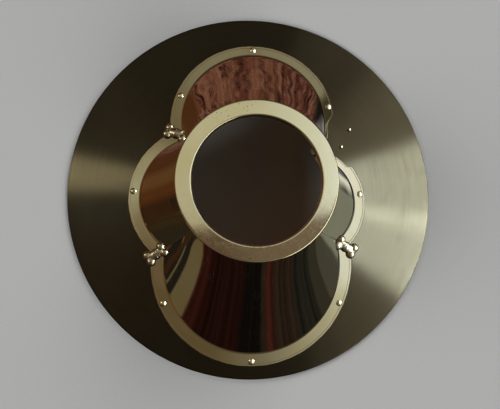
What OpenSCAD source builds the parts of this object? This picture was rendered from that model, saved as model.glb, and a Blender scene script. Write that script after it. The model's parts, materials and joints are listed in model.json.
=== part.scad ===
// Brass lamp shade hood: a satin spun skirt with a four-lobed polished neck riveted over it.
// The rim stands on z = 0, the neck opens upwards, and the largest lobe faces -Y, the front.

/* [Skirt] */
// Diameter over the wired rim
rim_d = 254; // [250:1:270]
// Rise of the skirt's cone above the horizontal, in degrees
skirt_slope = 13; // [11:0.5:15]
// Thickness of the spun skirt sheet
skirt_t = 0.8; // [0.6:0.1:1]
// Diameter of the wire that stiffens the rim
wire_d = 1.6; // [1.2:0.1:2]
// Height of the flat that the hem is dressed to on its underside
hem_flat = 0.15; // [0.1:0.05:0.25]

/* [Neck] */
// Height of the neck ring's face above the table
neck_h = 68; // [64:1:72]
// Outer diameter of the neck ring
ring_d = 97; // [96:0.5:99]
// Diameter of the open bore through the neck ring
bore_d = 77; // [75:0.5:78]
// Thickness of the neck ring
ring_t = 2.2; // [1.8:0.1:2.6]
// Depth of the lip turned down round the bore
ring_lip = 4; // [3.5:0.5:5]
// Radial width and height of the hoop brazed under the ring
hoop_w = 1.8; // [1.4:0.1:2]
// Height of the hoop
hoop_h = 2.5; // [2:0.1:3]

/* [Lobes] */
// Thickness of the polished sheet
gore_t = 0.7; // [0.5:0.1:0.8]
// Radius of the front lobe where it meets the skirt
front_r = 58.5; // [57:0.5:60]
// Distance of the front lobe's centre from the axis
front_out = 50; // [49:0.5:51]
// Radius of the back lobe
back_r = 48.5; // [47:0.5:50]
// Distance of the back lobe's centre from the axis
back_out = 48; // [47:0.5:49]
// Radius of the left lobe
left_r = 40; // [39:0.5:41]
// Distance of the left lobe's centre from the axis
left_out = 35; // [34:0.5:36]
// Radius of the right lobe
right_r = 32; // [31.5:0.5:33]
// Distance of the right lobe's centre from the axis
right_out = 37; // [36.5:0.5:38]
// Width of the riveted flange on the front lobe
front_flange = 9; // [8:0.5:10]
// Width of the riveted flange on the other lobes
flange_w = 8.3; // [7.5:0.1:9]
// Setback of the bend between each lobe's wall and its flange
bend = 3; // [2:0.5:4]
// Length snipped off each flange end beside a seam
snip = 2; // [1.8:0.1:2.4]

/* [Fasteners] */
// Diameter of a rivet's domed head
rivet_head_d = 4.4; // [3.6:0.1:5]
// Height of a rivet's domed head
rivet_head_h = 1.2; // [0.9:0.1:1.6]
// Diameter of a rivet's shank
rivet_d = 2; // [1.6:0.1:2.4]
// Diameter of the studs that hold the corner brackets
stud_d = 2.4; // [2:0.1:2.6]
// Diameter of the balls at a corner bracket's ends
ball_d = 5.4; // [5:0.1:5.6]
// Distance from the middle of a corner bracket to its balls, along it
ball_along = 5.8; // [5.4:0.1:6.2]
// Distance from the middle of a corner bracket to its balls, across it
ball_across = 2.9; // [2.6:0.1:3.2]

/* [Hidden] */
$fn = 96;

satin = "#7d7650";
polished = "#c9b56b";
cast_brass = "#b29a55";
brazing = "#a8935a";
iron = "#6d6a66";

// Lobes run counterclockwise, and seam i lies between lobe i and lobe i + 1.
RIGHT = 0;
BACK = 1;
LEFT = 2;
FRONT = 3;

// Centres, radii, flange widths and numbers of facets of the lobes, in plan
lobe_c = [[right_out, -8], [1, back_out], [-left_out, -5], [0, -front_out]];
lobe_r = [right_r, back_r, left_r, front_r];
lobe_flange = [flange_w, flange_w, flange_w, front_flange];
lobe_steps = [24, 36, 26, 40];

// The bracket of this seam is missing, and both flanges are cut narrower within step_span degrees of it.
bare_seam = RIGHT;
step_span = 14.5;
step_width = [5.5, 3];

fit_gap = 0.05;
over = 1;
rim_r = rim_d / 2;
wire_r = wire_d / 2;
hem_r = wire_r + fit_gap + skirt_t;
hem_at = [rim_r - hem_r, hem_r - hem_flat];
ring_r = ring_d / 2;
bore_r = bore_d / 2;
ring_edge = ring_t / 2;
bore_edge = 1;
gore_top_r = ring_r - 2;
gore_top_z = neck_h - ring_t - fit_gap;
hoop_r = gore_top_r - 1.5;
hole_inset = 5;
hole_r = 47.5;
seat = fit_gap + gore_t;
stud_r = stud_d / 2;
stud_out = [-2.6, 4.8];
stud_h = 2.6;
stud_tail_d = 3.6;
tail_h = 0.8;
rivet_tail_d = rivet_head_d - 0.6;
bracket_out = 7;
// Each bracket's turn away from the radial line; the back left one was set squint.
bracket_turn = [0, 16, 0, 0];
wall_margin = 1.3;
bracket_lift = 0.25;
bead_r = 0.95;
bead_in = 2.05;
bend_steps = 4;
seam_gap = 0.01;
drill_h = 10;
plane_size = 60;
far_r = 30;

// Height of the skirt's upper face at radius r: a cone that runs tangent over the hem
function skirt_z(r) = hem_at.y + (hem_r - (r - hem_at.x) * sin(skirt_slope)) / cos(skirt_slope);

// Outer crossing point of two circles taken counterclockwise round the axis
function crossing(c1, r1, c2, r2) =
    let (d = c2 - c1, l = norm(d), a = (r1 * r1 - r2 * r2 + l * l) / (2 * l), h = sqrt(r1 * r1 - a * a))
    c1 + (a * d - h * [-d.y, d.x]) / l;

// Distance from the axis to a circle of centre c and radius r, looking along angle a
function reach(c, r, a) = let (b = c * [cos(a), sin(a)]) b + sqrt(b * b - c * c + r * r);

function seam_corner(i) = crossing(lobe_c[i], lobe_r[i], lobe_c[(i + 1) % 4], lobe_r[(i + 1) % 4]);
function seam_angle(i) = (atan2(seam_corner(i).y, seam_corner(i).x) + 360) % 360;
// The front seams lean towards the front at the ring.
seam_lean = [0, 0, 5, -8];
function seam_top_angle(i) = seam_angle(i) + seam_lean[i];
function seam_foot(i) = [seam_corner(i).x, seam_corner(i).y, skirt_z(norm(seam_corner(i))) + seat];
function seam_top(i) = concat(gore_top_r * [cos(seam_top_angle(i)), sin(seam_top_angle(i))], [gore_top_z]);

function polar(r, a, z) = [r * cos(a), r * sin(a), z];
function unit(v) = v / norm(v);
function mix(a, b, t) = a + (b - a) * t;
function before(i) = (i + 3) % 4;
function snip_angle(i) = atan(snip / norm(seam_corner(i)));

// Flange width of lobe i at angle a, narrower beside the bare seam
function width(i, a) =
    let (off = abs(((a - seam_angle(bare_seam) + 540) % 360) - 180))
    off < step_span ? step_width[i] : lobe_flange[i];

// Profile of lobe i at angle a: wall from the ring, bend, flange along the skirt
function profile(i, a, top_a, inset) =
    let (foot_r = reach(lobe_c[i], lobe_r[i], a),
         edge_r = reach(lobe_c[i], lobe_r[i] + width(i, a), a + inset),
         top = polar(gore_top_r, top_a, gore_top_z),
         foot = polar(foot_r, a, skirt_z(foot_r) + seat / cos(skirt_slope)),
         edge = polar(edge_r, a + inset, skirt_z(edge_r) + seat / cos(skirt_slope)),
         back = min(bend, 0.6 * norm(edge - foot)),
         on_wall = foot + back * unit(top - foot),
         on_flange = foot + back * unit(edge - foot))
    concat([top], [for (k = [0:bend_steps]) let (t = k / bend_steps)
        mix(mix(on_wall, foot, t), mix(foot, on_flange, t), t)], [edge]);

// Sheet lobe i between its two seams, as one closed shell of thickness gore_t
module gore_sheet(i) {
    n = lobe_steps[i];
    m = bend_steps + 2;
    a0 = seam_angle(before(i)) - (i == RIGHT ? 360 : 0);
    a1 = seam_angle(i);
    t0 = seam_top_angle(before(i)) - (i == RIGHT ? 360 : 0);
    t1 = seam_top_angle(i);
    grid = [for (k = [0:n])
        let (t = max(seam_gap, min(n - seam_gap, k)) / n)
        profile(i, mix(a0, a1, t), mix(t0, t1, t), k == 0 ? snip_angle(before(i)) : k == n ? -snip_angle(i) : 0)];
    outward = [for (k = [0:n]) [for (j = [0:m])
        let (down = grid[k][min(j + 1, m)] - grid[k][max(j - 1, 0)],
             along = grid[min(k + 1, n)][j] - grid[max(k - 1, 0)][j])
        unit(cross(down, along))]];
    inner = [for (k = [0:n]) [for (j = [0:m]) grid[k][j] - gore_t * outward[k][j]]];
    row = m + 1;
    back = (n + 1) * row;
    function at(k, j) = k * row + j;
    function both(a, b, c, d) = [[a, b, c], [a, c, d]];
    faces = concat(
        [for (k = [0:n - 1]) for (j = [0:m - 1])
            each both(at(k, j), at(k + 1, j), at(k + 1, j + 1), at(k, j + 1))],
        [for (k = [0:n - 1]) for (j = [0:m - 1])
            each both(back + at(k, j), back + at(k, j + 1), back + at(k + 1, j + 1), back + at(k + 1, j))],
        [for (k = [0:n - 1])
            each both(back + at(k, 0), back + at(k + 1, 0), at(k + 1, 0), at(k, 0))],
        [for (k = [0:n - 1])
            each both(at(k, m), at(k + 1, m), back + at(k + 1, m), back + at(k, m))],
        [for (j = [0:m - 1])
            each both(at(0, j), at(0, j + 1), back + at(0, j + 1), back + at(0, j))],
        [for (j = [0:m - 1])
            each both(at(n, j + 1), at(n, j), back + at(n, j), back + at(n, j + 1))]);
    polyhedron(points = concat([for (line = grid) each line], [for (line = inner) each line]), faces = faces);
}

// Places children on the skirt at a point, with +Z square to its surface
module on_skirt(p) {
    r = norm(p);
    rotate([0, 0, atan2(p.y, p.x)])
        translate([r, 0, skirt_z(r)])
            rotate([0, skirt_slope, 0])
                children();
}

// Rivet positions on lobe i, by angle about the lobe's own centre
rivet_angles = [[10], [13, 90, 160], [174], [-157, -90, -23]];
rivet_in = 3.2;
function rivet_points(i) = [for (a = rivet_angles[i])
    lobe_c[i] + (lobe_r[i] + lobe_flange[i] - rivet_in) * [cos(a), sin(a)]];

// Places children at the bracket of seam i, with +X along the bracket
module at_bracket(i) {
    on_skirt((norm(seam_corner(i)) + bracket_out) * unit(seam_corner(i)))
        rotate([0, 0, bracket_turn[i]])
            children();
}

// Places children at both studs of seam i: in its bracket's line, or where the missing bracket left them
bare_studs = [[60.8, 30.9], [67.3, 43.6]];
module at_studs(i) {
    if (i == bare_seam)
        for (p = bare_studs)
            on_skirt(p)
                children();
    else
        at_bracket(i)
            for (s = stud_out)
                translate([s, 0, 0])
                    children();
}

module at_rivets(i) {
    for (p = rivet_points(i))
        on_skirt(p)
            children();
}

module drill(d) {
    translate([0, 0, -drill_h / 2])
        cylinder(d = d + 2 * fit_gap, h = drill_h);
}

module gore(i) {
    color(polished)
        difference() {
            gore_sheet(i);
            at_rivets(i)
                drill(rivet_d);
            for (s = [i, before(i)])
                at_studs(s)
                    drill(stud_d);
        }
}

module rivet() {
    dome_r = (pow(rivet_head_d / 2, 2) + pow(rivet_head_h, 2)) / (2 * rivet_head_h);
    head_z = seat + fit_gap;
    tail_z = -skirt_t - fit_gap - tail_h;
    intersection() {
        translate([0, 0, head_z + rivet_head_h - dome_r])
            sphere(r = dome_r);
        translate([0, 0, head_z])
            cylinder(d = rivet_head_d + over, h = rivet_head_h + over);
    }
    translate([0, 0, tail_z])
        cylinder(d = rivet_d, h = head_z - tail_z + rivet_head_h / 2);
    translate([0, 0, tail_z])
        cylinder(d = rivet_tail_d, h = tail_h);
}

module rivets(i) {
    color(cast_brass)
        at_rivets(i)
            rivet();
}

module stud() {
    tail_z = -skirt_t - fit_gap - tail_h;
    translate([0, 0, tail_z])
        cylinder(d = stud_d, h = stud_h - stud_r - tail_z);
    translate([0, 0, stud_h - stud_r])
        sphere(r = stud_r);
    translate([0, 0, tail_z])
        cylinder(d = stud_tail_d, h = tail_h);
}

module studs(i) {
    color(cast_brass)
        at_studs(i)
            stud();
}

// Everything behind the wall of lobe i at seam s, as a block to cut away
module wall_side(i, s) {
    foot = seam_foot(s);
    spoke = unit([foot.x, foot.y] - lobe_c[i]);
    outward = unit(cross(seam_top(s) - foot, [-spoke.y, spoke.x, 0]));
    facing = outward * [spoke.x, spoke.y, 0] > 0 ? outward : -outward;
    translate(foot + wall_margin * facing)
        rotate([0, acos(facing.z), atan2(facing.y, facing.x)])
            translate([-plane_size / 2, -plane_size / 2, -plane_size])
                cube(plane_size);
}

module bracket(s) {
    base_z = seat + bracket_lift;
    ball_r = ball_d / 2;
    mid_z = base_z + 0.55 * ball_r;
    socket_h = stud_h + 0.2;
    color(cast_brass)
        difference() {
            at_bracket(s)
                difference() {
                    union() {
                        for (x = [-ball_along, ball_along])
                            for (y = [-ball_across, ball_across])
                                translate([x, y, mid_z])
                                    sphere(d = ball_d);
                        translate([-ball_along, 0, mid_z])
                            rotate([0, 90, 0])
                                cylinder(r = 0.92 * ball_r, h = 2 * ball_along);
                    }
                    translate([-plane_size / 2, -plane_size / 2, base_z - plane_size])
                        cube(plane_size);
                    for (x = stud_out)
                        translate([x, 0, 0])
                            cylinder(d = stud_d + 4 * fit_gap, h = socket_h);
                }
            wall_side(s, s);
            wall_side((s + 1) % 4, s);
        }
}

// Round rod between two points
module rod(p, q, r) {
    d = q - p;
    translate(p)
        rotate([0, acos(d.z / norm(d)), atan2(d.y, d.x)])
            cylinder(r = r, h = norm(d));
}

// Brazed bead along the inside of seam i
module seam_bead(i) {
    low = 0.14;
    high = 0.9;
    foot = seam_foot(i);
    top = seam_top(i);
    inward_a = seam_angle(i) + seam_lean[i] / 2;
    inward = -bead_in * [cos(inward_a), sin(inward_a), 0];
    color(brazing)
        rod(mix(foot, top, low) + inward, mix(foot, top, high) + inward, bead_r);
}

module skirt() {
    edge = hem_at + hem_r * [sin(skirt_slope), cos(skirt_slope)];
    down = -skirt_t * [sin(skirt_slope), cos(skirt_slope)];
    far = [far_r, skirt_z(far_r)];
    color(satin)
        difference() {
            rotate_extrude()
                difference() {
                    union() {
                        polygon([edge, far, far + down, edge + down]);
                        translate(hem_at)
                            circle(r = hem_r);
                    }
                    translate(hem_at)
                        circle(r = wire_r + fit_gap);
                    translate([0, -hem_r])
                        square([rim_r + over, hem_r]);
                }
            linear_extrude(neck_h)
                union() {
                    circle(r = hole_r);
                    for (i = [RIGHT:FRONT])
                        translate(lobe_c[i])
                            circle(r = lobe_r[i] - hole_inset);
                }
            for (i = [RIGHT:FRONT]) {
                at_rivets(i)
                    drill(rivet_d);
                at_studs(i)
                    drill(stud_d);
            }
        }
}

module rim_wire() {
    color(iron)
        rotate_extrude()
            translate(hem_at)
                circle(r = wire_r);
}

module neck_ring() {
    color(polished)
        rotate_extrude()
            union() {
                translate([bore_r + bore_edge, neck_h - ring_t])
                    square([ring_r - ring_edge - bore_r - bore_edge, ring_t]);
                translate([ring_r - ring_edge, neck_h - ring_edge])
                    circle(r = ring_edge);
                translate([bore_r + bore_edge, neck_h - bore_edge])
                    circle(r = bore_edge);
                translate([bore_r, neck_h - ring_lip])
                    square([bore_edge, ring_lip - bore_edge]);
            }
}

module neck_hoop() {
    color(brazing)
        rotate_extrude()
            translate([hoop_r - hoop_w, gore_top_z - hoop_h])
                square([hoop_w, hoop_h]);
}

module gore_front() gore(FRONT);
module gore_back() gore(BACK);
module gore_left() gore(LEFT);
module gore_right() gore(RIGHT);
module seam_back_right() seam_bead(RIGHT);
module seam_back_left() seam_bead(BACK);
module seam_front_left() seam_bead(LEFT);
module seam_front_right() seam_bead(FRONT);
module bracket_back_left() bracket(BACK);
module bracket_front_left() bracket(LEFT);
module bracket_front_right() bracket(FRONT);
module studs_back_right() studs(RIGHT);
module studs_back_left() studs(BACK);
module studs_front_left() studs(LEFT);
module studs_front_right() studs(FRONT);
module rivets_front() rivets(FRONT);
module rivets_back() rivets(BACK);
module rivets_left() rivets(LEFT);
module rivets_right() rivets(RIGHT);

skirt();
rim_wire();
neck_ring();
neck_hoop();
gore_front();
gore_back();
gore_left();
gore_right();
seam_front_left();
seam_front_right();
seam_back_left();
seam_back_right();
bracket_front_left();
bracket_front_right();
bracket_back_left();
studs_front_left();
studs_front_right();
studs_back_left();
studs_back_right();
rivets_front();
rivets_back();
rivets_left();
rivets_right();
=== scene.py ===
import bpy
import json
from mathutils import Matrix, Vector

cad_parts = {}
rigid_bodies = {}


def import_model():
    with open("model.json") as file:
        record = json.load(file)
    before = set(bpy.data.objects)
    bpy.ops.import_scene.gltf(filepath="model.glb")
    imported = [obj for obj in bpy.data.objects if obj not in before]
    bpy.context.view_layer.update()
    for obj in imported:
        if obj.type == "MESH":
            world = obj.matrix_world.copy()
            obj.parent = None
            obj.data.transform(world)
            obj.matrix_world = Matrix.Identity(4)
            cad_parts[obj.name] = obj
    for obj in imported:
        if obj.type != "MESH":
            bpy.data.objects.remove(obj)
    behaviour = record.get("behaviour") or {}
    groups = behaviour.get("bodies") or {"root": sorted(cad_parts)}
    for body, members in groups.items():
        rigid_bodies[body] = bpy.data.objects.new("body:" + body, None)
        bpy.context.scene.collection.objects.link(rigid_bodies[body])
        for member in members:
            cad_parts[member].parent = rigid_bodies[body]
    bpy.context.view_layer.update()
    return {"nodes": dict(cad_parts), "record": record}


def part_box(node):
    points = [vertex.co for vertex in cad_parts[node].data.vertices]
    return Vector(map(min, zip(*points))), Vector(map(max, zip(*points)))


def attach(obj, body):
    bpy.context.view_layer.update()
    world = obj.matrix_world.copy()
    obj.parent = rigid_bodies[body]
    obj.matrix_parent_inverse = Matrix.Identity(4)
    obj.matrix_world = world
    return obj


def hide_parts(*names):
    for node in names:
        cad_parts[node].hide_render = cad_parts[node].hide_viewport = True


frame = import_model()

import json
import math

import bmesh
import bpy
import numpy as np
from mathutils import Matrix

scene = bpy.context.scene


# ---------------------------------------------------------------- camera
# Looks almost straight down on the shade from a little in front and to the left, with the back at the top.
# It stands 385 mm above the table, which with its lens sets how large the neck looks against the rim.
eye = np.array([-0.0212, -0.0489, 0.3848])
aim = np.array([-0.0007, -0.0075, 0.0015])
back_of_camera = (eye - aim) / np.linalg.norm(eye - aim)
right_of_camera = np.cross([0.0, 1.0, 0.0], back_of_camera)
right_of_camera /= np.linalg.norm(right_of_camera)
up_of_camera = np.cross(back_of_camera, right_of_camera)
camera = bpy.data.objects.new("camera", bpy.data.cameras.new("camera"))
camera.data.lens = 39.6
camera.data.clip_start = 0.01
camera_frame = np.eye(4)
camera_frame[:3, :3] = np.column_stack([right_of_camera, up_of_camera, back_of_camera])
camera_frame[:3, 3] = eye
camera.matrix_world = Matrix(camera_frame.tolist())
scene.collection.objects.link(camera)
scene.camera = camera


# ---------------------------------------------------------------- skirt
# The shade's broad skirt: 0.8 mm brass sheet spun to a shallow cone, brushed on the lathe to a satin face,
# with its rim rolled round a wire and a lobed opening cut under the neck.
slope = math.radians(13)
skirt_sheet = 0.0008
wire_radius = 0.0008
fit_gap = 0.00005
hem_flat = 0.00015
hem_open = 0.5
hem_tuck = 0.0006
opening_radius = 0.0475
opening_inset = 0.005
skirt_steps = 720
cone_steps = 40
hem_steps = 36
merged_within = 1e-7
sharp_edge = math.radians(38)
rim_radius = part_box("skirt")[1][0]
hem_radius = wire_radius + fit_gap + skirt_sheet
hem_out = rim_radius - hem_radius
hem_up = hem_radius - hem_flat

# Plan of the four lobes, counterclockwise, which the opening follows: centre, radius where the wall meets
# the skirt, flange width.
lobe_names = ["right", "back", "left", "front"]
lobe_centre = np.array([[0.037, -0.008], [0.001, 0.048], [-0.035, -0.005], [0.0, -0.050]])
lobe_radius = np.array([0.032, 0.0485, 0.040, 0.0585])
lobe_flange = np.array([0.0083, 0.0083, 0.0083, 0.009])


def skirt_height(radius):
    """Height of the skirt's upper face: a straight cone that runs tangent over the round hem."""
    return hem_up + (hem_radius - (radius - hem_out) * math.sin(slope)) / math.cos(slope)


def reach(centre, radius, angle):
    """Distance from the axis to the far side of a circle, looking along an angle; 0 where it is missed."""
    along = centre[0] * np.cos(angle) + centre[1] * np.sin(angle)
    square = along**2 - centre @ centre + radius**2
    return np.where(square > 0, along + np.sqrt(np.maximum(square, 0)), 0)


def new_piece(name, points, faces, material, slot, *nodes, mirrored=False):
    """A closed piece from points and faces, doubles merged, faces outward, smooth but for its sharp edges.
    Unless it is mirrored, its neighbours mirror the room straight through it."""
    mesh = bpy.data.meshes.new(name)
    mesh.from_pydata(np.asarray(points).reshape(-1, 3).tolist(), [], np.asarray(faces).tolist())
    work = bmesh.new()
    work.from_mesh(mesh)
    bmesh.ops.remove_doubles(work, verts=work.verts, dist=merged_within)
    bmesh.ops.recalc_face_normals(work, faces=work.faces)
    work.to_mesh(mesh)
    work.free()
    mesh.shade_smooth()
    mesh.set_sharp_from_angle(angle=sharp_edge)
    mesh.materials.append(material)
    piece = bpy.data.objects.new(name, mesh)
    piece.visible_glossy = mirrored
    scene.collection.objects.link(piece)
    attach(piece, "root")
    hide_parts(*nodes)
    return piece


def loop_faces(rows, columns, wrap):
    """Quads over a grid whose every row is a closed loop; wrap also joins the last row to the first."""
    joins = rows if wrap else rows - 1
    row, column = np.meshgrid(np.arange(joins), np.arange(columns), indexing="ij")
    next_row = (row + 1) % rows
    next_column = (column + 1) % columns
    quads = np.stack([
        row * columns + column,
        row * columns + next_column,
        next_row * columns + next_column,
        next_row * columns + column], -1)
    return quads.reshape(-1, 4)


def add_node(tree, kind, inputs=None, **settings):
    """A shader node with its settings, and its inputs set to a value or linked from a socket, by name."""
    made = tree.nodes.new(kind)
    for key, value in settings.items():
        setattr(made, key, value)
    for key, value in (inputs or {}).items():
        if isinstance(value, bpy.types.NodeSocket):
            tree.links.new(value, made.inputs[key])
        else:
            made.inputs[key].default_value = value
    return made


def new_metal(name, **sockets):
    """A metal with its uniform values set on the shader's own sockets: returns the material, its tree, its
    shader and its place."""
    material = bpy.data.materials.new(name)
    material.use_nodes = True
    tree = material.node_tree
    shader = tree.nodes["Principled BSDF"]
    shader.inputs["Metallic"].default_value = 1.0
    for key, value in sockets.items():
        shader.inputs[key.replace("_", " ")].default_value = value
    place = add_node(tree, "ShaderNodeTexCoord").outputs["Object"]
    return material, tree, shader, place


def ramp(tree, factor, *stops):
    """Colour ramp through (position, colour) stops."""
    made = add_node(tree, "ShaderNodeValToRGB", {"Fac": factor})
    for _ in stops[2:]:
        made.color_ramp.elements.new(0.5)
    for element, (position, colour) in zip(made.color_ramp.elements, stops):
        element.position = position
        element.color = (*colour, 1)
    return made.outputs["Color"]


def spread(tree, value, low, high, to_low, to_high):
    """Maps a value from one range to another, clamped."""
    inputs = {"Value": value, "From Min": low, "From Max": high, "To Min": to_low, "To Max": to_high}
    return add_node(tree, "ShaderNodeMapRange", inputs).outputs["Result"]


def noise(tree, place, scale, detail=3.0, stretch=(1, 1, 1), turn=(0, 0, 0), distortion=0.0):
    """Noise of so many waves to the metre, stretched and turned first."""
    moved = add_node(tree, "ShaderNodeMapping", {"Vector": place, "Scale": stretch, "Rotation": turn})
    inputs = {"Vector": moved.outputs["Vector"], "Scale": scale, "Detail": detail, "Distortion": distortion}
    return add_node(tree, "ShaderNodeTexNoise", inputs).outputs["Fac"]


def bumped(tree, shader, *layers):
    """Stacks (height, distance in metres) bump layers on a shader."""
    normal = None
    for height, distance in layers:
        inputs = {"Height": height, "Distance": distance, "Strength": 1.0}
        if normal:
            inputs["Normal"] = normal
        normal = add_node(tree, "ShaderNodeBump", inputs).outputs["Normal"]
    tree.links.new(normal, shader.inputs["Normal"])


def tinted(tree, colour, tint):
    """One colour multiplied by another."""
    inputs = {"Factor": 1.0, 6: colour, 7: tint}
    return add_node(tree, "ShaderNodeMix", inputs, data_type="RGBA", blend_type="MULTIPLY").outputs[2]


def calculated(tree, operation, first, second=None):
    """Result of one step of arithmetic on one or two values."""
    inputs = {0: first} if second is None else {0: first, 1: second}
    return add_node(tree, "ShaderNodeMath", inputs, operation=operation).outputs["Value"]


def satin_brass():
    """Lathe-brushed brass: grooves run round the axis, so the sheen fans out along the radius."""
    material, tree, shader, place = new_metal("satin_brass", Anisotropic=1.0)
    split = add_node(tree, "ShaderNodeSeparateXYZ", {"Vector": place})
    flat = add_node(tree, "ShaderNodeCombineXYZ", {"X": split.outputs["X"], "Y": split.outputs["Y"]})
    spoke = add_node(tree, "ShaderNodeVectorMath", {0: flat.outputs["Vector"]}, operation="NORMALIZE")
    radius = add_node(tree, "ShaderNodeVectorMath", {0: flat.outputs["Vector"]}, operation="LENGTH")
    tree.links.new(spoke.outputs["Vector"], shader.inputs["Tangent"])
    spoke_split = add_node(tree, "ShaderNodeSeparateXYZ", {"Vector": spoke.outputs["Vector"]})
    groove = add_node(tree, "ShaderNodeCombineXYZ", {
        "X": spoke_split.outputs["X"], "Y": spoke_split.outputs["Y"], "Z": radius.outputs["Value"]})
    groove = groove.outputs["Vector"]
    fine = noise(tree, groove, 1.0, 4.0, stretch=(2.2, 2.2, 3800))
    broad = noise(tree, groove, 1.0, 3.0, stretch=(1.6, 1.6, 420))
    cloud = noise(tree, place, 22, 4.0)
    wear = noise(tree, place, 90, 5.0, distortion=0.4)
    hue = ramp(tree, cloud, (0.3, (0.076, 0.062, 0.034)), (0.7, (0.088, 0.073, 0.042)))
    lines = ramp(tree, fine, (0.35, (0.88, 0.88, 0.86)), (0.65, (1.06, 1.06, 1.05)))
    tree.links.new(tinted(tree, hue, lines), shader.inputs["Base Color"])
    brushed = spread(tree, broad, 0.35, 0.65, 0.31, 0.335)
    worn = spread(tree, wear, 0.55, 0.8, 0.0, 0.05)
    tree.links.new(calculated(tree, "ADD", brushed, worn), shader.inputs["Roughness"])
    bumped(tree, shader, (fine, 0.000012), (broad, 0.00002))
    return material


def skirt_rings():
    """Grid of the skirt: round the axis by angle; across it, one closed loop that runs down the upper face,
    over and under the hem's circle, and back up the lower face to the opening's edge."""
    angle = np.linspace(0, 2 * math.pi, skirt_steps, endpoint=False)
    opening = np.full_like(angle, opening_radius)
    for centre, radius in zip(lobe_centre, lobe_radius):
        opening = np.maximum(opening, reach(centre, radius - opening_inset, angle))
    turn = np.linspace(math.pi / 2 - slope, -3 * math.pi / 2 + hem_open, hem_steps)
    hem_height = np.maximum(hem_up + hem_radius * np.sin(turn), 0)
    hem = np.stack([hem_out + hem_radius * np.cos(turn), hem_height], -1)
    down = np.linspace(0, 1, cone_steps)[:-1]
    upper = opening[:, None] * (1 - down) + hem[0, 0] * down
    lower = opening[:, None] * down + (hem[-1, 0] - hem_tuck) * (1 - down)
    drop = skirt_sheet / math.cos(slope)
    radii = np.concatenate([upper, np.tile(hem[:, 0], (len(angle), 1)), lower], 1)
    heights = np.concatenate([
        skirt_height(upper), np.tile(hem[:, 1], (len(angle), 1)), skirt_height(lower) - drop], 1)
    return np.stack([radii * np.cos(angle)[:, None], radii * np.sin(angle)[:, None], heights], -1)


rings = skirt_rings()
new_piece("satin_skirt", rings, loop_faces(*rings.shape[:2], True), satin_brass(), "satin_brass", "skirt")


# ---------------------------------------------------------------- rim wire
# Drawn iron wire, which the skirt's rim is rolled round to stiffen it. It is all but hidden inside the hem,
# so it stays the plain ring of the frame, with a dull iron finish.
def iron():
    """Drawn iron: dark, with a patchy oxide skin."""
    material, tree, shader, place = new_metal("drawn_iron", Roughness=0.45)
    skin = noise(tree, place, 260, 4.0)
    colour = ramp(tree, skin, (0.35, (0.16, 0.14, 0.13)), (0.7, (0.33, 0.31, 0.29)))
    tree.links.new(colour, shader.inputs["Base Color"])
    bumped(tree, shader, (skin, 0.00002))
    return material


def refinish(node, material):
    """Gives a node of the frame a finish in all its slots."""
    slots = frame["nodes"][node].data.materials
    slots.clear()
    slots.append(material)


refinish("rim_wire", iron())
frame["nodes"]["rim_wire"].visible_glossy = False


# ---------------------------------------------------------------- lobes
# Four gores of 0.7 mm polished sheet, each bent from the neck's circle to its own larger circle on the skirt,
# with the foot turned out into a hand-cut flange. They meet in butt seams and are riveted to the skirt.
gore_sheet = 0.0007
seat = gore_sheet + fit_gap
bend = 0.0014
bend_most = 0.6
neck_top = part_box("neck_ring")[1][2]
ring_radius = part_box("neck_ring")[1][0]
ring_thickness = 0.0022
ring_overhang = 0.002
gore_top_radius = ring_radius - ring_overhang
gore_top_height = neck_top - ring_thickness - fit_gap
# How far round from its foot each seam's top lies, from the back right corner counterclockwise.
seam_lean = np.radians([0, 0, 5, -8])
# At the bare corner both flanges narrow: how near the seam, to what width, and how gradually.
bare_seam = 0
step_span = math.radians(14.5)
step_width = [0.0055, 0.003]
step_blend = [0.012, 0.05]
# Each flange is snipped back from its corners, and each lobe stops a hair short of its seams.
snip = 0.002
seam_gap = 0.0003
rivet_degrees = [[10], [13, 90, 160], [174], [-157, -90, -23]]
rivet_in = 0.0032
lobe_steps = 200
wall_rows = 25
bend_rows = 11
# Along the edge: height of each wave, waves round the axis, and its shift from lobe to lobe.
edge_waves = [(0.00007, 31, 1), (0.00006, 83, 2), (0.00004, 190, 0)]
# Over the wall: hand-worked waves. Over the flange: how far it springs up between its rivets.
wave_height = 0.000022
wave_fade = 0.01
spring_height = 0.00016
spring_reach = 0.011
# Across the flange, as shares of its width from the bend to the edge.
sprung = 0.8
scribed = 0.78
scribe_width = 0.03
scribe_depth = 0.00004
flange_rows = np.unique(np.concatenate([np.linspace(0, 1, 16), scribed + np.linspace(-0.07, 0.07, 13)]))


def crossing(a, b):
    """Outer crossing point of the circles of lobes a and b, taken counterclockwise."""
    gap_line = lobe_centre[b] - lobe_centre[a]
    length = np.linalg.norm(gap_line)
    along = (lobe_radius[a]**2 - lobe_radius[b]**2 + length**2) / (2 * length)
    across = math.sqrt(lobe_radius[a]**2 - along**2)
    return lobe_centre[a] + (along * gap_line - across * np.array([-gap_line[1], gap_line[0]])) / length


seam_corner = np.array([crossing(i, (i + 1) % 4) for i in range(4)])
seam_angle = np.arctan2(seam_corner[:, 1], seam_corner[:, 0]) % (2 * math.pi)
rivet_places = [
    lobe_centre[i] + (lobe_radius[i] + lobe_flange[i] - rivet_in)
    * np.stack([np.cos(np.radians(rivet_degrees[i])), np.sin(np.radians(rivet_degrees[i]))], -1)
    for i in range(4)]


def on_cone(radius, angle, lift=0.0):
    """Points at a radius and angle on the skirt, lifted along its normal."""
    out = radius + lift * math.sin(slope)
    up = skirt_height(radius) + lift * math.cos(slope)
    return np.stack([out * np.cos(angle), out * np.sin(angle), up], -1)


def under_ring(angle):
    """Points on the circle under the neck ring where the lobes' tops end."""
    level = np.full_like(angle, gore_top_height)
    return np.stack([gore_top_radius * np.cos(angle), gore_top_radius * np.sin(angle), level], -1)


def unit(vectors):
    """Vectors divided by their own lengths."""
    return vectors / np.linalg.norm(vectors, axis=-1, keepdims=True)


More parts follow.
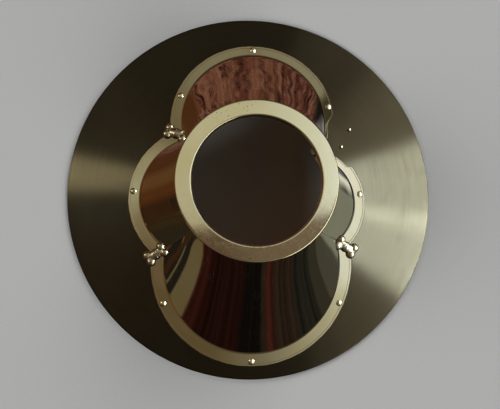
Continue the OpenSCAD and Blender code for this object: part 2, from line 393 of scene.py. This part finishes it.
def surface_normals(grid):
    """Unit normals of a grid from the cross product of its two central differences."""
    return unit(np.cross(np.gradient(grid, axis=1), np.gradient(grid, axis=0)))


def lobe_outside(i, steps):
    """Outer face of lobe i. Across: a straight ruling from the neck's circle to the foot, a bend as a
    quadratic curve about the foot, and a flange along the cone. Along: by angle about the axis, seam to
    seam. The two lobes at the bare corner have a flange that narrows smoothly there."""
    start = seam_angle[i - 1] - (2 * math.pi if i == 0 else 0)
    top_start = start + seam_lean[i - 1]
    share = np.linspace(seam_gap, 1 - seam_gap, steps)
    angle = start + (seam_angle[i] - start) * share
    top_angle = top_start + (seam_angle[i] + seam_lean[i] - top_start) * share
    foot_radius = reach(lobe_centre[i], lobe_radius[i], angle)
    ragged = sum(height * np.sin(angle * waves + shift * i) for height, waves, shift in edge_waves)
    width = np.full_like(angle, lobe_flange[i])
    if i < 2:
        off = np.abs((angle - seam_angle[bare_seam] + math.pi) % (2 * math.pi) - math.pi)
        blend = np.clip((off - step_span) / step_blend[i] + 0.5, 0, 1)
        width = step_width[i] + (lobe_flange[i] - step_width[i]) * blend**2 * (3 - 2 * blend)
    edge_radius = reach(lobe_centre[i], lobe_radius[i] + width, angle) + ragged
    first_snip = snip / np.linalg.norm(seam_corner[i - 1])
    last_snip = snip / np.linalg.norm(seam_corner[i])
    edge_angle = np.clip(angle, start + first_snip, seam_angle[i] - last_snip)
    top = under_ring(top_angle)
    foot = on_cone(foot_radius, angle, seat)
    edge = on_cone(edge_radius, edge_angle, seat)
    back = np.minimum(bend, bend_most * np.linalg.norm(edge - foot, axis=-1))[:, None]
    on_wall = foot + back * unit(top - foot)
    on_flange = foot + back * unit(edge - foot)
    wall = np.linspace(0, 1, wall_rows + 1)[:-1, None, None]
    turn = np.linspace(0, 1, bend_rows + 1)[:-1, None, None]
    flat = flange_rows[:, None, None]
    rows = np.concatenate([
        top + (on_wall - top) * wall,
        (1 - turn)**2 * on_wall + 2 * turn * (1 - turn) * foot + turn**2 * on_flange,
        on_flange + (edge - on_flange) * flat])
    return rows.transpose(1, 0, 2)


def lobe_hand_work(i, grid, normals):
    """Hand-worked sheet: slow waves of a few hundredths of a millimetre over the wall, which fade out at the
    ring, a flange that hugs the skirt at its rivets and springs up a little between them, and a line scribed
    along the flange."""
    x, y, z = grid[..., 0], grid[..., 1], grid[..., 2]
    waves = (
        np.sin(x * 160 + z * 90 + i)
        + np.sin(y * 210 - z * 130 + 2 * i)
        + np.sin((x + y) * 95 + z * 260))
    fade = np.clip((gore_top_height - z) / wave_fade, 0, 1)
    held = [*rivet_places[i], seam_corner[i - 1], seam_corner[i]]
    nearest = np.min([np.hypot(x - px, y - py) for px, py in held], axis=0)
    spring = spring_height * (1 - np.exp(-(nearest / spring_reach)**2))
    on_flange = np.concatenate([np.zeros(wall_rows + bend_rows), flange_rows])
    rise = np.clip(on_flange / sprung, 0, 1)
    scribe = scribe_depth * np.exp(-((on_flange - scribed) / scribe_width)**2)
    lift = wave_height * waves * fade * (1 - rise) + spring * rise - scribe
    return grid + normals * lift[..., None]


def sheet_loops(outer, thickness, round_edge=7):
    """Closed loops round a sheet: its outer face, a bull-nosed edge as a half circle, then its inner face."""
    normals = surface_normals(outer)
    inner = outer - thickness * normals
    half = (outer[:, -1] - inner[:, -1]) / 2
    away = unit(outer[:, -1] - outer[:, -2]) * thickness / 2
    middle = outer[:, -1] - half - away
    turn = np.linspace(0, math.pi, round_edge)[:, None, None]
    nose = (middle + half * np.cos(turn) + away * np.sin(turn)).transpose(1, 0, 2)
    return np.concatenate([outer[:, :-1], nose, inner[:, -2::-1]], 1)


def capped_faces(rows, columns):
    """Faces of open-ended loops: quads along them, and end caps that pair opposite points of the end
    loops."""
    sides = loop_faces(rows, columns, False)
    pair = np.arange(columns // 2 - 1)
    cap = np.stack([pair, columns - 1 - pair, columns - 2 - pair, pair + 1], -1)
    return np.concatenate([sides, cap, cap[:, ::-1] + (rows - 1) * columns])


def scratches(tree, place):
    """Hairline scratches in three directions, each only where its own slow noise is high."""
    lines = None
    for angle in (0.3, 1.4, 2.5):
        turn = (0.2, 0.1, angle)
        hair = noise(tree, place, 1.0, 1.0, stretch=(7000, 70, 70), turn=turn, distortion=0.15)
        hair = spread(tree, hair, 0.72, 0.77, 0, 1)
        where = spread(tree, noise(tree, place, 28 + 9 * angle, 1.0), 0.5, 0.6, 0, 1)
        one_way = calculated(tree, "MULTIPLY", hair, where)
        lines = calculated(tree, "MAXIMUM", lines, one_way) if lines else one_way
    return lines


def polished_brass():
    """Hand-polished sheet brass: near mirror, with rubbed haze, fine scratches one way and another, and a
    little tarnish."""
    material, tree, shader, place = new_metal("polished_brass")
    cloud = noise(tree, place, 34, 4.0)
    haze = noise(tree, place, 120, 6.0, distortion=0.6)
    lines = scratches(tree, place)
    hue = ramp(tree, cloud, (0.3, (0.83, 0.70, 0.36)), (0.7, (0.90, 0.78, 0.45)))
    tree.links.new(hue, shader.inputs["Base Color"])
    rubbed = spread(tree, haze, 0.4, 0.75, 0.055, 0.11)
    scratched = spread(tree, lines, 0, 1, 0, 0.5)
    tree.links.new(calculated(tree, "ADD", rubbed, scratched), shader.inputs["Roughness"])
    bumped(tree, shader, (cloud, 0.00003), (lines, 0.000004))
    return material


polished = polished_brass()
for i, name in enumerate(lobe_names):
    outside = lobe_outside(i, lobe_steps)
    outside = lobe_hand_work(i, outside, surface_normals(outside))
    loops = sheet_loops(outside, gore_sheet)
    faces = capped_faces(*loops.shape[:2])
    new_piece("lobe_" + name, loops, faces, polished, "polished_brass", "gore_" + name)


# ---------------------------------------------------------------- seams
# Each seam between two lobes is brazed from inside: a thin line that fills the butt joint, and behind it a
# thick lumpy bead of brass, left as it cooled.
seam_names = ["back_right", "back_left", "front_left", "front_right"]
rope_radius = 0.00095
rope_inset = 0.00205
line_radius = 0.0004
bead_steps = 60
bead_sides = 20
# Where each begins and ends, as shares of the way up the seam.
rope_ends = (0.14, 0.9)
line_ends = (0.01, 0.99)


def brazing_brass():
    """Brazing left as it cooled: dull, pale and pitted."""
    material, tree, shader, place = new_metal("brazing_brass")
    crust = noise(tree, place, 700, 5.0)
    colour = ramp(tree, crust, (0.35, (0.34, 0.25, 0.12)), (0.65, (0.62, 0.50, 0.27)))
    tree.links.new(colour, shader.inputs["Base Color"])
    tree.links.new(spread(tree, crust, 0.3, 0.7, 0.5, 0.32), shader.inputs["Roughness"])
    bumped(tree, shader, (crust, 0.00008))
    return material


def bead(start, end, radius):
    """Round bead between two points, its radius swelling and shrinking as two sines, closed to points."""
    share = np.linspace(0, 1, bead_steps)
    swell = radius * (0.86 + 0.08 * np.sin(share * 61) + 0.06 * np.sin(share * 143))
    swell[[0, -1]] = 0
    line = unit(end - start)
    side = unit(np.cross(line, [0, 0, 1.0]))
    turn = np.linspace(0, 2 * math.pi, bead_sides, endpoint=False)
    circle = side * np.cos(turn)[:, None] + np.cross(line, side) * np.sin(turn)[:, None]
    return (start + (end - start) * share[:, None])[:, None] + swell[:, None, None] * circle


def joined(shapes, wrap):
    """Points and faces of several grids of loops, all of one size, as one piece."""
    size = shapes[0].shape[0] * shapes[0].shape[1]
    faces = loop_faces(*shapes[0].shape[:2], wrap)
    points = np.concatenate([shape.reshape(-1, 3) for shape in shapes])
    return points, np.concatenate([faces + k * size for k in range(len(shapes))])


brazing = brazing_brass()
for i, name in enumerate(seam_names):
    foot = on_cone(np.linalg.norm(seam_corner[i]), seam_angle[i]) + [0, 0, seat]
    up_seam = under_ring(seam_angle[i] + seam_lean[i]) - foot
    middle_angle = seam_angle[i] + seam_lean[i] / 2
    inward = -rope_inset * np.array([math.cos(middle_angle), math.sin(middle_angle), 0])
    rope = bead(*(foot + up_seam * end + inward for end in rope_ends), rope_radius)
    line = bead(*(foot + up_seam * end for end in line_ends), line_radius)
    new_piece("brazed_" + name, *joined([rope, line], False), brazing, "brazing_brass", "seam_" + name)


# ---------------------------------------------------------------- neck
# A flat ring with rounded edges closes the neck, its bore edge turned down into a short lip; a square hoop
# is brazed under it, inside the tops of the lobes.
def turned(profile, steps):
    """Lathe work: a closed profile of (radius, height) carried round the axis."""
    angle = np.linspace(0, 2 * math.pi, steps, endpoint=False)[:, None]
    radius = profile[:, 0]
    height = profile[:, 1] + 0 * angle
    return np.stack([radius * np.cos(angle), radius * np.sin(angle), height], -1)


def arc(centre_radius, centre_height, radius, first, last, points):
    """Part of a circle in a profile, from one angle to another, in degrees."""
    turn = np.radians(np.linspace(first, last, points))
    return np.stack([centre_radius + radius * np.cos(turn), centre_height + radius * np.sin(turn)], -1)


def straight(start, end, points):
    """Points along a straight stretch of a profile, without its ends."""
    share = np.linspace(0, 1, points + 2)[1:-1, None]
    return np.asarray(start) * (1 - share) + np.asarray(end) * share


bore_mount = next(m for m in frame["record"]["mounts"] if m["name"] == "neck_bore")
bore_radius = bore_mount["dims"]["r_mm"] / 1000
ring_steps = 360
ring_edge = ring_thickness / 2
bore_edge = 0.001
lip_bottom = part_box("neck_ring")[0][2]
ring_profile = np.concatenate([
    arc(ring_radius - ring_edge, neck_top - ring_edge, ring_edge, -90, 90, 22),
    straight((ring_radius - ring_edge, neck_top), (bore_radius + bore_edge, neck_top), 18),
    arc(bore_radius + bore_edge, neck_top - bore_edge, bore_edge, 90, 180, 12),
    straight((bore_radius, neck_top - bore_edge), (bore_radius, lip_bottom), 5),
    arc(bore_radius + bore_edge / 2, lip_bottom + bore_edge / 2, bore_edge / 2, 180, 360, 9),
    [[bore_radius + bore_edge, neck_top - ring_thickness]]])


def laid_over(tree, under, colour, mask):
    """A colour laid over what is under it where the mask is one."""
    over = colour if isinstance(colour, bpy.types.NodeSocket) else (*colour, 1)
    inputs = {"Factor": mask, 6: under, 7: over}
    return add_node(tree, "ShaderNodeMix", inputs, data_type="RGBA").outputs[2]


def ring_brass():
    """Polished ring brass: brighter than the sheet, with small brown specks in patches, a mottled worn
    stretch and short scuffs."""
    material, tree, shader, place = new_metal("ring_brass")
    cloud = noise(tree, place, 45, 4.0)
    speck = noise(tree, place, 620, 3.0)
    patch = noise(tree, place, 17, 2.0, turn=(0, 0, 1.4))
    mottle = noise(tree, place, 210, 6.0, distortion=1.2)
    scuff = noise(tree, place, 1.0, 2.0, stretch=(1900, 130, 100), turn=(0, 0, 0.9))
    speck = spread(tree, speck, 0.62, 0.67, 0, 1)
    patch = spread(tree, patch, 0.48, 0.58, 0, 1)
    spots = calculated(tree, "MULTIPLY", speck, patch)
    hue = ramp(tree, cloud, (0.3, (0.86, 0.76, 0.42)), (0.7, (0.92, 0.83, 0.50)))
    tree.links.new(laid_over(tree, hue, (0.30, 0.21, 0.10), spots), shader.inputs["Base Color"])
    worn = spread(tree, mottle, 0.45, 0.75, 0.07, 0.13)
    scuffed = spread(tree, scuff, 0.68, 0.75, 0, 0.12)
    tree.links.new(calculated(tree, "ADD", worn, scuffed), shader.inputs["Roughness"])
    bumped(tree, shader, (cloud, 0.000004), (scuff, 0.0000015), (spots, 0.00001))
    return material


ring = turned(ring_profile, ring_steps)
new_piece(
    "neck_top_ring", ring, loop_faces(*ring.shape[:2], True), ring_brass(),
    "ring_brass", "neck_ring", mirrored=True)

hoop_low, hoop_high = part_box("neck_hoop")
hoop_steps = 240
hoop_thickness = 0.0018
corner = 0.0002
hoop_out = hoop_high[0]
hoop_in = hoop_out - hoop_thickness
hoop_profile = np.concatenate([
    arc(hoop_out - corner, hoop_low[2] + corner, corner, -90, 0, 5),
    arc(hoop_out - corner, hoop_high[2] - corner, corner, 0, 90, 5),
    arc(hoop_in + corner, hoop_high[2] - corner, corner, 90, 180, 5),
    arc(hoop_in + corner, hoop_low[2] + corner, corner, 180, 270, 5)])
hoop = turned(hoop_profile, hoop_steps)
new_piece(
    "brazed_hoop", hoop, loop_faces(*hoop.shape[:2], True), brazing,
    "brazing_brass", "neck_hoop", mirrored=True)


# ---------------------------------------------------------------- rivets
# Brass rivets that hold the flanges down: a low dome on the flange, a shank through both sheets, and a tail
# that the hammer has flattened below.
rivet_head = 0.0022
rivet_dome = 0.0012
rivet_shank = 0.001
rivet_steps = 28
tail_height = 0.0008
tail_radius = 0.8 * rivet_head
tail_shoulder = 0.82 * rivet_head
tail_corner = 0.0002
head_bevel = 0.0001
head_corner = 0.00012
crown_foot = 0.00015
crown_inset = 0.00003
tail_top = -skirt_sheet - fit_gap
head_foot = seat + fit_gap


def rivet_brass():
    """Hammer-set rivet brass: fine random flecks, darker and rougher, over bright brass."""
    material, tree, shader, place = new_metal("rivet_brass")
    dirt = noise(tree, place, 900, 4.0)
    colour = ramp(tree, dirt, (0.35, (0.56, 0.44, 0.22)), (0.6, (0.86, 0.74, 0.42)))
    tree.links.new(colour, shader.inputs["Base Color"])
    tree.links.new(spread(tree, dirt, 0.3, 0.7, 0.42, 0.28), shader.inputs["Roughness"])
    bumped(tree, shader, (dirt, 0.00004))
    return material


def cone_frame(place, turn=0.0):
    """Axes and origin on the skirt at a plan point: x runs down the slope and z stands square to it, and x is
    then turned about z."""
    angle = math.atan2(place[1], place[0])
    spoke = np.array([math.cos(angle), math.sin(angle), 0])
    axis = np.array([0, 0, 1])
    outward = spoke * math.cos(slope) - axis * math.sin(slope)
    square = spoke * math.sin(slope) + axis * math.cos(slope)
    along = outward * math.cos(turn) + np.cross(square, outward) * math.sin(turn)
    origin = np.array([*place, skirt_height(math.hypot(*place))])
    return np.stack([along, np.cross(square, along), square]), origin


def set_on_skirt(shape, places):
    """Copies of one shape of loops set on the skirt at each plan point, as points and faces."""
    frames = [cone_frame(place) for place in places]
    return joined([shape @ axes + origin for axes, origin in frames], True)


def dome(radius, height, foot, points):
    """Profile of a spherical cap on a foot, from its edge to its crown."""
    ball = (radius**2 + height**2) / (2 * height)
    first = math.degrees(math.asin((ball - height) / ball))
    return arc(0, foot + height - ball, ball, first, 90, points)


rivet_profile = np.concatenate([
    [[0, tail_top - tail_height]],
    arc(tail_radius - tail_corner, tail_top - tail_height + tail_corner, tail_corner, -90, 0, 4),
    [[tail_shoulder, tail_top],
     [rivet_shank, tail_top],
     [rivet_shank, head_foot],
     [rivet_head - head_bevel, head_foot],
     [rivet_head, head_foot + head_corner]],
    dome(rivet_head - crown_inset, rivet_dome - crown_foot, head_foot + crown_foot, 12)])
rivet_finish = rivet_brass()
for i, name in enumerate(lobe_names):
    heads, faces = set_on_skirt(turned(rivet_profile, rivet_steps), rivet_places[i])
    new_piece("rivet_heads_" + name, heads, faces, rivet_finish, "rivet_brass", "rivets_" + name)


# ---------------------------------------------------------------- studs
# Two turned studs at each corner, riveted up through the skirt. Three pairs are hidden under brackets; the
# pair at the back right stands bare, because its bracket has been lost.
stud_radius = 0.0012
stud_height = 0.0026
stud_tail = 0.0018
stud_steps = 24
# Along each bracket's line: its two studs from its middle, and its middle from the corner.
stud_out = (-0.0026, 0.0048)
bracket_out = 0.007
bracket_turn = np.radians([0, 16, 0, 0])
bare_studs = [(0.0608, 0.0309), (0.0673, 0.0436)]
stud_profile = np.concatenate([
    [[0, tail_top - tail_height],
     [stud_tail - tail_corner, tail_top - tail_height],
     [stud_tail, tail_top - tail_height + tail_corner],
     [stud_tail, tail_top],
     [stud_radius, tail_top]],
    straight((stud_radius, tail_top), (stud_radius, stud_height - stud_radius), 5),
    arc(0, stud_height - stud_radius, stud_radius, 0, 90, 10)])


def corner_frame(i):
    """Axes and origin of the bracket of seam i, a little outside the corner where two flanges meet."""
    middle = seam_corner[i] * (1 + bracket_out / np.linalg.norm(seam_corner[i]))
    return cone_frame(middle, bracket_turn[i])


def under_bracket(i):
    """Plan points of the studs under the bracket of seam i, in its own line."""
    axes, origin = corner_frame(i)
    return [(origin + axes[0] * out)[:2] for out in stud_out]


for i, name in enumerate(seam_names):
    places = bare_studs if i == bare_seam else under_bracket(i)
    pins, faces = set_on_skirt(turned(stud_profile, stud_steps), places)
    new_piece("stud_pair_" + name, pins, faces, rivet_finish, "rivet_brass", "studs_" + name)


# ---------------------------------------------------------------- brackets
# Small brackets like a bone, four balls on a waist, cast in brass and polished by hand. They cover three of
# the corners where two flanges meet, and the pairs of studs hold them down.
ball_radius = 0.0032
ball_along = 0.0056
ball_across = 0.0024
# The waist and the bead round its middle are ellipsoids: half their length, width and height.
waist_radii = (ball_along * 1.2, ball_radius * 1.12, ball_radius * 0.98)
bead_radii = (0.0013, ball_radius * 1.22, ball_radius * 1.05)
base_gap = 0.00025
base_height = seat + base_gap
ball_height = base_height + 0.55 * ball_radius
ball_rings = 24
ball_sides = 32
melt_size = 0.00022
melt_passes = 22


def cast_brass():
    """Cast and hand-polished brass: darker and lighter in small random patches, with fine pits that vary its
    roughness.
    """
    material, tree, shader, place = new_metal("cast_brass")
    pits = noise(tree, place, 1100, 5.0)
    cloud = noise(tree, place, 240, 3.0)
    colour = ramp(tree, cloud, (0.35, (0.40, 0.33, 0.18)), (0.65, (0.66, 0.57, 0.35)))
    tree.links.new(colour, shader.inputs["Base Color"])
    tree.links.new(spread(tree, pits, 0.3, 0.7, 0.42, 0.26), shader.inputs["Roughness"])
    bumped(tree, shader, (cloud, 0.00008), (pits, 0.00003))
    return material


def ball_grid(centre, radii):
    """An ellipsoid about a centre: points by longitude, and by latitude from pole to pole."""
    up = np.linspace(-math.pi / 2, math.pi / 2, ball_rings)
    around = np.linspace(0, 2 * math.pi, ball_sides, endpoint=False)[:, None]
    shape = np.stack([np.cos(up) * np.cos(around), np.cos(up) * np.sin(around), np.sin(up) + 0 * around], -1)
    return shape * radii + centre


def bracket_blank():
    """Four balls, a waist and a middle bead, as grids to be melted into one casting."""
    blobs = [
        ball_grid((x, y, ball_height), (ball_radius, ball_radius, ball_radius))
        for x in (-ball_along, ball_along)
        for y in (-ball_across, ball_across)]
    blobs.append(ball_grid((0, 0, ball_height), waist_radii))
    blobs.append(ball_grid((0, 0, ball_height), bead_radii))
    return blobs


cast = cast_brass()
for i, name in enumerate(seam_names):
    if i == bare_seam:
        continue
    axes, origin = corner_frame(i)
    blobs, faces = joined([blob @ axes + origin for blob in bracket_blank()], True)
    piece = new_piece("corner_" + name, blobs, faces, cast, "cast_brass", "bracket_" + name)
    melt = piece.modifiers.new("melt", "REMESH")
    melt.mode = "VOXEL"
    melt.voxel_size = melt_size
    ease = piece.modifiers.new("ease", "SMOOTH")
    ease.iterations = melt_passes
    evaluated = piece.evaluated_get(bpy.context.evaluated_depsgraph_get())
    melted = bpy.data.meshes.new_from_object(evaluated)
    piece.modifiers.clear()
    points = np.empty(len(melted.vertices) * 3)
    melted.vertices.foreach_get("co", points)
    # Flat underneath, where the casting is filed to sit on the flanges.
    local = (points.reshape(-1, 3) - origin) @ axes.T
    local[:, 2] = np.maximum(local[:, 2], base_height)
    melted.vertices.foreach_set("co", (local @ axes + origin).ravel())
    melted.shade_smooth()
    piece.data = melted


# ---------------------------------------------------------------- stage
# A wide pale table under three lights of its own. The skirt, rivets and castings are lit by two lamps and two
# wide glows on the right and a narrow lamp on the left, and the neck ring by one soft lamp. The lobes only
# mirror a dim room, painted by azimuth and elevation. The camera sees a plain pale wall in its place.
def pale_card():
    """Pale matt card with a faint fibre."""
    material = bpy.data.materials.new("pale_card")
    material.use_nodes = True
    tree = material.node_tree
    shader = tree.nodes["Principled BSDF"]
    shader.inputs["Roughness"].default_value = 0.8
    place = add_node(tree, "ShaderNodeTexCoord").outputs["Object"]
    colour = ramp(tree, noise(tree, place, 900, 3.0), (0.3, (0.72, 0.72, 0.71)), (0.7, (0.76, 0.76, 0.75)))
    tree.links.new(colour, shader.inputs["Base Color"])
    return material


table_radius = 1.5
table_steps = 120
turn = np.linspace(0, 2 * math.pi, table_steps, endpoint=False)
table_edge = np.stack([table_radius * np.cos(turn), table_radius * np.sin(turn), 0 * turn], -1)
table_mesh = bpy.data.meshes.new("table_top")
table_mesh.from_pydata(table_edge.tolist(), [], [list(range(table_steps))])
table_mesh.materials.append(pale_card())
table = bpy.data.objects.new("table_top", table_mesh)
table.visible_glossy = False
scene.collection.objects.link(table)

# What each kind of light reaches: the table alone, the neck ring alone, or all but those and the lobes.
only_table = bpy.data.collections.new("only_table")
only_table.objects.link(table)
only_ring = bpy.data.collections.new("only_ring")
only_ring.objects.link(bpy.data.objects["neck_top_ring"])
worked_brass = bpy.data.collections.new("worked_brass")
worked_brass.objects.link(table)
worked_brass.objects.link(bpy.data.objects["neck_top_ring"])
for name in lobe_names:
    worked_brass.objects.link(bpy.data.objects["lobe_" + name])
for member in worked_brass.collection_objects:
    member.light_linking.link_state = "EXCLUDE"


def soft_light(name, azimuth, elevation, distance, width, height, radiance, colour, lights):
    """Rectangular soft light facing the shade: azimuth from +X, elevation above the table, in degrees."""
    light = bpy.data.lights.new(name, "AREA")
    light.shape = "RECTANGLE"
    light.size = width
    light.size_y = height
    light.energy = radiance * math.pi * width * height
    light.color = colour
    lamp = bpy.data.objects.new(name, light)
    lamp.visible_camera = False
    lamp.light_linking.receiver_collection = lights
    around = math.radians(azimuth)
    rise = math.radians(elevation)
    facing = np.array([math.cos(around) * math.cos(rise), math.sin(around) * math.cos(rise), math.sin(rise)])
    side = np.cross([0, 0, 1.0], facing)
    side /= np.linalg.norm(side)
    placed = np.eye(4)
    placed[:3, :3] = np.column_stack([side, np.cross(facing, side), facing])
    placed[:3, 3] = facing * distance
    lamp.matrix_world = Matrix(placed.tolist())
    scene.collection.objects.link(lamp)


window_blue = (0.80, 0.98, 1.27)
soft_light("right_lamp", -12.5, 33, 1.0, 0.40, 0.28, 28.0, window_blue, worked_brass)
soft_light("right_lamp_dim", 10, 33, 1.0, 0.40, 0.28, 23.5, window_blue, worked_brass)
soft_light("right_glow", -8, 32, 1.0, 2.6, 0.16, 3.8, (0.98, 1.0, 1.0), worked_brass)
soft_light("right_glow_wide", 10, 32, 1.0, 3.4, 0.16, 3.2, (1.0, 0.98, 0.95), worked_brass)
soft_light("left_lamp", 166, 31, 1.0, 0.17, 0.28, 9.8, (1.0, 1.0, 0.88), worked_brass)
soft_light("ring_lamp", -20, 30, 1.0, 1.6, 0.4, 1.8, (1.0, 1.0, 0.95), only_ring)
for side in (-60, 60, 180):
    soft_light("table_light_" + str(side), side, 30, 2.6, 1.8, 1.2, 3.9, (1.0, 1.0, 1.0), only_table)


def painted_room():
    """World shader: patches laid one over another on the sphere of directions, and a plain wall for the
    camera."""
    world = bpy.data.worlds.new("room")
    world.use_nodes = True
    tree = world.node_tree
    way = add_node(tree, "ShaderNodeTexCoord").outputs["Generated"]
    split = add_node(tree, "ShaderNodeSeparateXYZ", {"Vector": way})
    x, y, z = (split.outputs[axis] for axis in "XYZ")
    elevation = calculated(tree, "DEGREES", calculated(tree, "ARCSINE", z))

    def rises(value, low, high):
        """One above high, nothing below low."""
        return spread(tree, value, low, high, 0, 1)

    def falls(value, low, high):
        """One below low, nothing above high."""
        return spread(tree, value, low, high, 1, 0)

    def product(first, *others):
        """All its values multiplied."""
        for other in others:
            first = calculated(tree, "MULTIPLY", first, other)
        return first

    def patch(under, colour, azimuth, half_width, low, high, soft=2.0):
        """A soft-edged patch so many degrees to each side of an azimuth, between two elevations."""
        inputs = {"Vector": way, "Angle": -math.radians(azimuth)}
        turned_way = add_node(tree, "ShaderNodeVectorRotate", inputs, rotation_type="Z_AXIS")
        ends = add_node(tree, "ShaderNodeSeparateXYZ", {"Vector": turned_way.outputs["Vector"]})
        off = calculated(tree, "ARCTAN2", ends.outputs["Y"], ends.outputs["X"])
        off = calculated(tree, "DEGREES", calculated(tree, "ABSOLUTE", off))
        return laid_over(tree, under, colour, product(
            falls(off, half_width - soft, half_width + soft),
            rises(elevation, low - soft, low + soft),
            falls(elevation, high - soft, high + soft)))

    # Dim room: nearly black below the table's level, brown above, and mauve overhead on the left.
    room = ramp(tree, rises(elevation, -20, 60),
                (0.0, (0.010, 0.009, 0.009)), (0.35, (0.022, 0.018, 0.016)), (1.0, (0.155, 0.12, 0.105)))
    overhead = product(rises(elevation, 66, 70), falls(x, -0.01, 0.09))
    room = laid_over(tree, room, (0.095, 0.062, 0.052), overhead)
    # The tops of the walls, by azimuth from the left round by the front: a window on the right, with a dark
    # curtain beyond it.
    round_room = calculated(tree, "ARCTAN2", y, x)
    walls = ramp(tree, rises(round_room, -math.pi, math.pi),
                 (0.0, (0.23, 0.21, 0.19)), (0.06, (0.16, 0.14, 0.11)), (0.09, (0.115, 0.092, 0.07)),
                 (0.22, (0.105, 0.085, 0.06)), (0.28, (0.18, 0.175, 0.165)), (0.36, (0.42, 0.44, 0.46)),
                 (0.395, (0.52, 0.56, 0.60)), (0.41, (0.72, 0.82, 1.05)), (0.50, (0.78, 0.88, 1.15)),
                 (0.617, (0.85, 0.94, 1.22)), (0.623, (0.04, 0.04, 0.035)), (0.65, (0.045, 0.045, 0.04)),
                 (0.66, (0.24, 0.245, 0.24)), (0.79, (0.20, 0.195, 0.18)), (0.86, (0.14, 0.12, 0.095)),
                 (0.92, (0.30, 0.30, 0.28)), (0.96, (0.34, 0.36, 0.34)), (1.0, (0.23, 0.21, 0.19)))
    room = laid_over(tree, room, walls, product(rises(elevation, 40, 42), falls(elevation, 59, 62)))
    # A ceiling over the back half, bluer towards the window, that ends in front along a slanting line.
    slant = calculated(tree, "ADD", y, calculated(tree, "MULTIPLY", x, -0.11))
    ceiling = ramp(tree, rises(z, 0.9, 1.0),
                   (0.1, (0.30, 0.295, 0.27)), (0.6, (0.50, 0.50, 0.47)), (0.9, (0.46, 0.45, 0.42)))
    ceiling = laid_over(tree, ceiling, (0.80, 0.90, 1.15), rises(x, 0.05, 0.24))
    room = laid_over(tree, room, ceiling, product(rises(slant, 0.066, 0.072), rises(elevation, 64, 67)))
    # A grey-blue sill under the window.
    room = patch(room, (0.18, 0.22, 0.32), -5, 18, 12, 36)
    # Brown furniture low on the left.
    room = patch(room, (0.12, 0.05, 0.02), 178, 50, -5, 34, 6)
    # Below the table's level behind and round to the left: a red, black and cream pattern, then brown.
    tall = add_node(tree, "ShaderNodeMapping", {"Vector": way, "Scale": (1, 1, 6)}).outputs["Vector"]
    inputs = {"Vector": tall, "Scale": 12.0, "Detail": 3.0, "Distortion": 0.8}
    grain = add_node(tree, "ShaderNodeTexNoise", inputs).outputs["Fac"]
    rug = ramp(tree, grain,
               (0.43, (0.006, 0.005, 0.006)), (0.47, (0.15, 0.042, 0.045)), (0.52, (0.085, 0.028, 0.022)),
               (0.57, (0.28, 0.16, 0.14)), (0.62, (0.12, 0.05, 0.04)))
    room = patch(room, rug, 90, 48, -95, -10, 3)
    for colour, azimuth, half_width in [
            ((0.066, 0.026, 0.013), 143, 13),
            ((0.105, 0.052, 0.026), 162, 9),
            ((0.078, 0.030, 0.012), 176, 8),
            ((0.035, 0.016, 0.009), -171, 10),
            ((0.034, 0.022, 0.012), -157, 6),
            ((0.022, 0.018, 0.014), -144, 10)]:
        room = patch(room, colour, azimuth, half_width, -95, -28, 4)
    room = patch(room, (0.10, 0.065, 0.04), 115, 12, -92, -60, 3)
    # Below the table's level in front: cream, then dark red and black hangings with folds, then grey.
    black = (0.013, 0.0115, 0.012)
    cream = (0.115, 0.098, 0.070)
    for colour, azimuth, half_width, low in [
            (black, -165, 12.5, -33),
            (cream, -163, 0.9, -33),
            (cream, -140, 14, -27),
            ((0.026, 0.0075, 0.008), -131, 6, -40),
            ((0.013, 0.0045, 0.005), -110, 16, -40),
            ((0.005, 0.004, 0.0055), -89, 7, -40),
            ((0.036, 0.011, 0.011), -75, 3.5, -40),
            ((0.021, 0.015, 0.015), -63, 9, -40),
            ((0.015, 0.016, 0.019), -46, 9, -40),
            ((0.032, 0.031, 0.032), -31, 7, -40),
            ((0.060, 0.062, 0.065), -14, 12, -60)]:
        room = patch(room, colour, azimuth, half_width, low, 6, 0.6)
    fold_place = add_node(tree, "ShaderNodeCombineXYZ", {"X": round_room}).outputs["Vector"]
    folds = ramp(tree, noise(tree, fold_place, 17, 4.0), (0.38, (0.5, 0.5, 0.5)), (0.62, (1.35, 1.3, 1.3)))
    room = patch(room, tinted(tree, room, folds), -90, 48, -40, 6, 0.6)
    room = patch(room, black, -176, 8, -54, -38.5, 0.6)
    room = patch(room, cream, -170, 0.9, -54, -38.5, 0.6)
    # Low on the right: grey, and paler towards the window.
    room = patch(room, (0.19, 0.21, 0.205), -8, 22, -62, -46, 2)
    room = patch(room, (0.70, 0.72, 0.70), 21, 10, -69, -56, 3)
    room = patch(room, (0.14, 0.14, 0.16), 40, 7, -74, -56, 3)

    seen = add_node(tree, "ShaderNodeLightPath").outputs["Is Camera Ray"]
    plain_wall = (0.55, 0.55, 0.54)
    tree.links.new(laid_over(tree, room, plain_wall, seen), tree.nodes["Background"].inputs["Color"])
    world.cycles_visibility.diffuse = False
    return world


scene.world = painted_room()
scene.view_settings.view_transform = "Standard"
